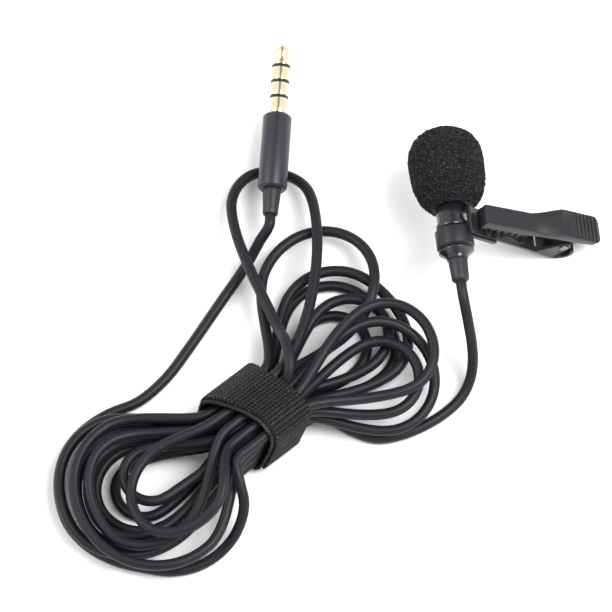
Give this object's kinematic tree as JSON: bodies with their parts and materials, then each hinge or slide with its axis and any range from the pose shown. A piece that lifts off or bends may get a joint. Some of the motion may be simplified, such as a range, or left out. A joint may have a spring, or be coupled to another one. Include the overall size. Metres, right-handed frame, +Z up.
{
  "type": "lavalier microphone",
  "caption": "Clip-on lavalier microphone with a foam windscreen, a swivelling sprung clip, a tied hank of thin cable and a four-pole audio plug.",
  "frame": {"origin": "on the surface that the microphone lies on, under the middle of the box round the head and clip (without cable, tie and plug)", "axes": "+Z up from the surface; +X towards the clip's finger pad, the head's longest way; +Y roughly from the strain relief towards the foam and the plug's tip"},
  "size_m": [0.1009, 0.105, 0.0224],
  "materials": {
    "foam": "open-cell foam, matt",
    "housing": "glossy dark grey",
    "grille": "fine perforated",
    "capsule": "bright",
    "gasket": "matt",
    "board": "solder mask",
    "conductor": "insulated wire and cable core",
    "rear_cap": "glossy dark grey",
    "relief": "satin",
    "collar": "satin charcoal",
    "bright_steel": "bright",
    "clip_steel": "satin gunmetal",
    "cable": "matt charcoal",
    "strap": "woven hook-and-loop",
    "gold": "polished gold plate",
    "insulator": "moulded",
    "handle": "satin charcoal"
  },
  "bodies": {
    "microphone": {"capsule_housing": "housing", "head_grille": "grille", "electret_capsule": "capsule", "capsule_gasket": "gasket", "circuit_board": "board", "head_conductors": "conductor", "rear_cap": "rear_cap", "head_strain_relief": "relief", "cord_head_end": "cable", "cord_hank": "cable", "cord_plug_end": "cable", "cable_tie": "strap", "plug_tip": "gold", "plug_insulator": "insulator", "plug_ring_front": "gold", "plug_ring_rear": "gold", "plug_sleeve": "gold", "plug_conductors": "conductor", "plug_handle": "handle", "plug_strain_relief": "relief"},
    "windscreen": {"foam_windscreen": "foam"},
    "clip": {"clip_collar": "collar", "collar_rivets": "clip_steel", "lower_jaw": "clip_steel", "pivot_pin": "bright_steel", "torsion_spring": "bright_steel"},
    "lever": {"upper_lever": "clip_steel", "spring_arm": "bright_steel"}
  },
  "joints": [
    {"name": "windscreen_pull", "type": "slide", "parent": "microphone", "child": "windscreen", "axis": [-0.1305, 0.9914, 0], "range_m": [0, 0.012]},
    {"name": "clip_swivel", "type": "hinge", "parent": "microphone", "child": "clip", "pos_m": [-0.00907, -0.00667, 0.0154], "axis": [0.1305, -0.9914, 0], "range_deg": [-45, 180]},
    {"name": "lever_pivot", "type": "hinge", "parent": "clip", "child": "lever", "pos_m": [0.01087, -0.00142, 0.00516], "axis": [-0.1305, 0.9914, 0], "range_deg": [0, 20], "stiffness_Nm_per_rad": 0.02, "springref_deg": -20.05}
  ]
}
